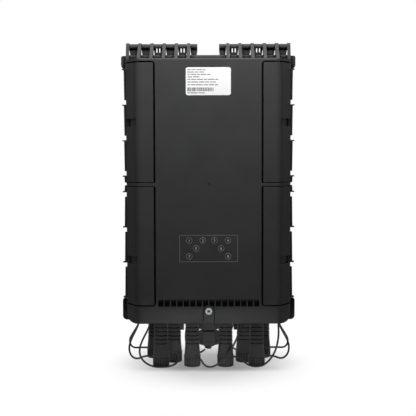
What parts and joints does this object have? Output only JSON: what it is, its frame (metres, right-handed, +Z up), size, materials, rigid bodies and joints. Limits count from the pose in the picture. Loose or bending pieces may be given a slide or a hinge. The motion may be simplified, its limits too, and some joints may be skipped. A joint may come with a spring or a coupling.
{
  "type": "fibre distribution hub box",
  "caption": "Black upright fibre distribution box with a top-hinged cover, captive screw, tethered dust caps over hardened ports and a plugged feeder gland below.",
  "frame": {"origin": "centre of the box's plan on the surface that the dust caps stand on", "axes": "+Z up to the hinge, the cover faces -Y, the mounting pads face +Y, +X to the viewer's right"},
  "size_m": [0.2484, 0.1308, 0.4677],
  "materials": {
    "shell_plastic": "fine grained",
    "cap_plastic": "satin",
    "adapter_plastic": "satin",
    "seal_rubber": "matte",
    "tether_rubber": "matte",
    "stainless": "bright",
    "insert_brass": "machined",
    "tray_plastic": "satin",
    "clear_lid": "clear",
    "splitter_steel": "satin",
    "plug_green": "gloss",
    "label_film": "satin"
  },
  "bodies": {
    "base": {"base_shell": "shell_plastic", "rim_gasket": "seal_rubber", "mount_inserts": "insert_brass", "screw_insert": "insert_brass", "hinge_pin_left": "stainless", "hinge_pin_right": "stainless", "port_nuts": "adapter_plastic", "port_seals": "seal_rubber", "pigtail_plugs": "plug_green", "feeder_gland_body": "cap_plastic", "feeder_gland_plug": "cap_plastic", "gland_locknut": "adapter_plastic", "splice_tray": "tray_plastic", "tray_lid": "clear_lid", "tray_screws": "stainless", "splice_holder": "tray_plastic", "splitter_module": "splitter_steel", "cable_clamp": "tray_plastic", "clamp_screws": "stainless", "tether_loops": "tether_rubber", "port_adapter_1": "adapter_plastic", "port_adapter_2": "adapter_plastic", "port_adapter_3": "adapter_plastic", "port_adapter_4": "adapter_plastic", "port_adapter_5": "adapter_plastic", "port_adapter_6": "adapter_plastic", "port_adapter_7": "adapter_plastic", "port_adapter_8": "adapter_plastic", "cap_tether_1": "tether_rubber", "cap_tether_2": "tether_rubber", "cap_tether_3": "tether_rubber", "cap_tether_4": "tether_rubber", "cap_tether_5": "tether_rubber", "cap_tether_6": "tether_rubber", "cap_tether_7": "tether_rubber", "cap_tether_8": "tether_rubber", "plug_tether": "tether_rubber"},
    "cover": {"cover_shell": "shell_plastic", "rating_label": "label_film"},
    "cover_screw": {"cover_screw": "stainless", "screw_washer": "stainless", "screw_retainer": "stainless"},
    "gland_nut": {"feeder_gland_nut": "cap_plastic"},
    "dust_cap_1": {"dust_cap_1": "cap_plastic"},
    "dust_cap_2": {"dust_cap_2": "cap_plastic"},
    "dust_cap_3": {"dust_cap_3": "cap_plastic"},
    "dust_cap_4": {"dust_cap_4": "cap_plastic"},
    "dust_cap_5": {"dust_cap_5": "cap_plastic"},
    "dust_cap_6": {"dust_cap_6": "cap_plastic"},
    "dust_cap_7": {"dust_cap_7": "cap_plastic"},
    "dust_cap_8": {"dust_cap_8": "cap_plastic"}
  },
  "joints": [
    {"name": "cover_hinge", "type": "hinge", "parent": "base", "child": "cover", "pos_m": [0, -0.024, 0.4625], "axis": [-1, 0, 0], "range_deg": [0, 115]},
    {"name": "cover_screw_turn", "type": "hinge", "parent": "cover", "child": "cover_screw", "pos_m": [0, -0.06, 0.0888], "axis": [0, -1, 0], "continuous": true},
    {"name": "gland_nut_turn", "type": "hinge", "parent": "base", "child": "gland_nut", "pos_m": [0, 0.025, 0.035], "axis": [0, 0, 1], "continuous": true},
    {"name": "cap_1_turn", "type": "hinge", "parent": "base", "child": "dust_cap_1", "pos_m": [-0.07, -0.013, 0.03], "axis": [0, 0, 1], "range_deg": [0, 90]},
    {"name": "cap_2_turn", "type": "hinge", "parent": "base", "child": "dust_cap_2", "pos_m": [-0.0243, -0.013, 0.03], "axis": [0, 0, 1], "range_deg": [0, 90]},
    {"name": "cap_3_turn", "type": "hinge", "parent": "base", "child": "dust_cap_3", "pos_m": [0.0243, -0.013, 0.03], "axis": [0, 0, 1], "range_deg": [0, 90]},
    {"name": "cap_4_turn", "type": "hinge", "parent": "base", "child": "dust_cap_4", "pos_m": [0.07, -0.013, 0.03], "axis": [0, 0, 1], "range_deg": [0, 90]},
    {"name": "cap_5_turn", "type": "hinge", "parent": "base", "child": "dust_cap_5", "pos_m": [-0.052, 0.01725, 0.03], "axis": [0, 0, 1], "range_deg": [0, 90]},
    {"name": "cap_6_turn", "type": "hinge", "parent": "base", "child": "dust_cap_6", "pos_m": [0.052, 0.01725, 0.03], "axis": [0, 0, 1], "range_deg": [0, 90]},
    {"name": "cap_7_turn", "type": "hinge", "parent": "base", "child": "dust_cap_7", "pos_m": [-0.082, 0.0475, 0.03], "axis": [0, 0, 1], "range_deg": [0, 90]},
    {"name": "cap_8_turn", "type": "hinge", "parent": "base", "child": "dust_cap_8", "pos_m": [0.082, 0.0475, 0.03], "axis": [0, 0, 1], "range_deg": [0, 90]}
  ]
}
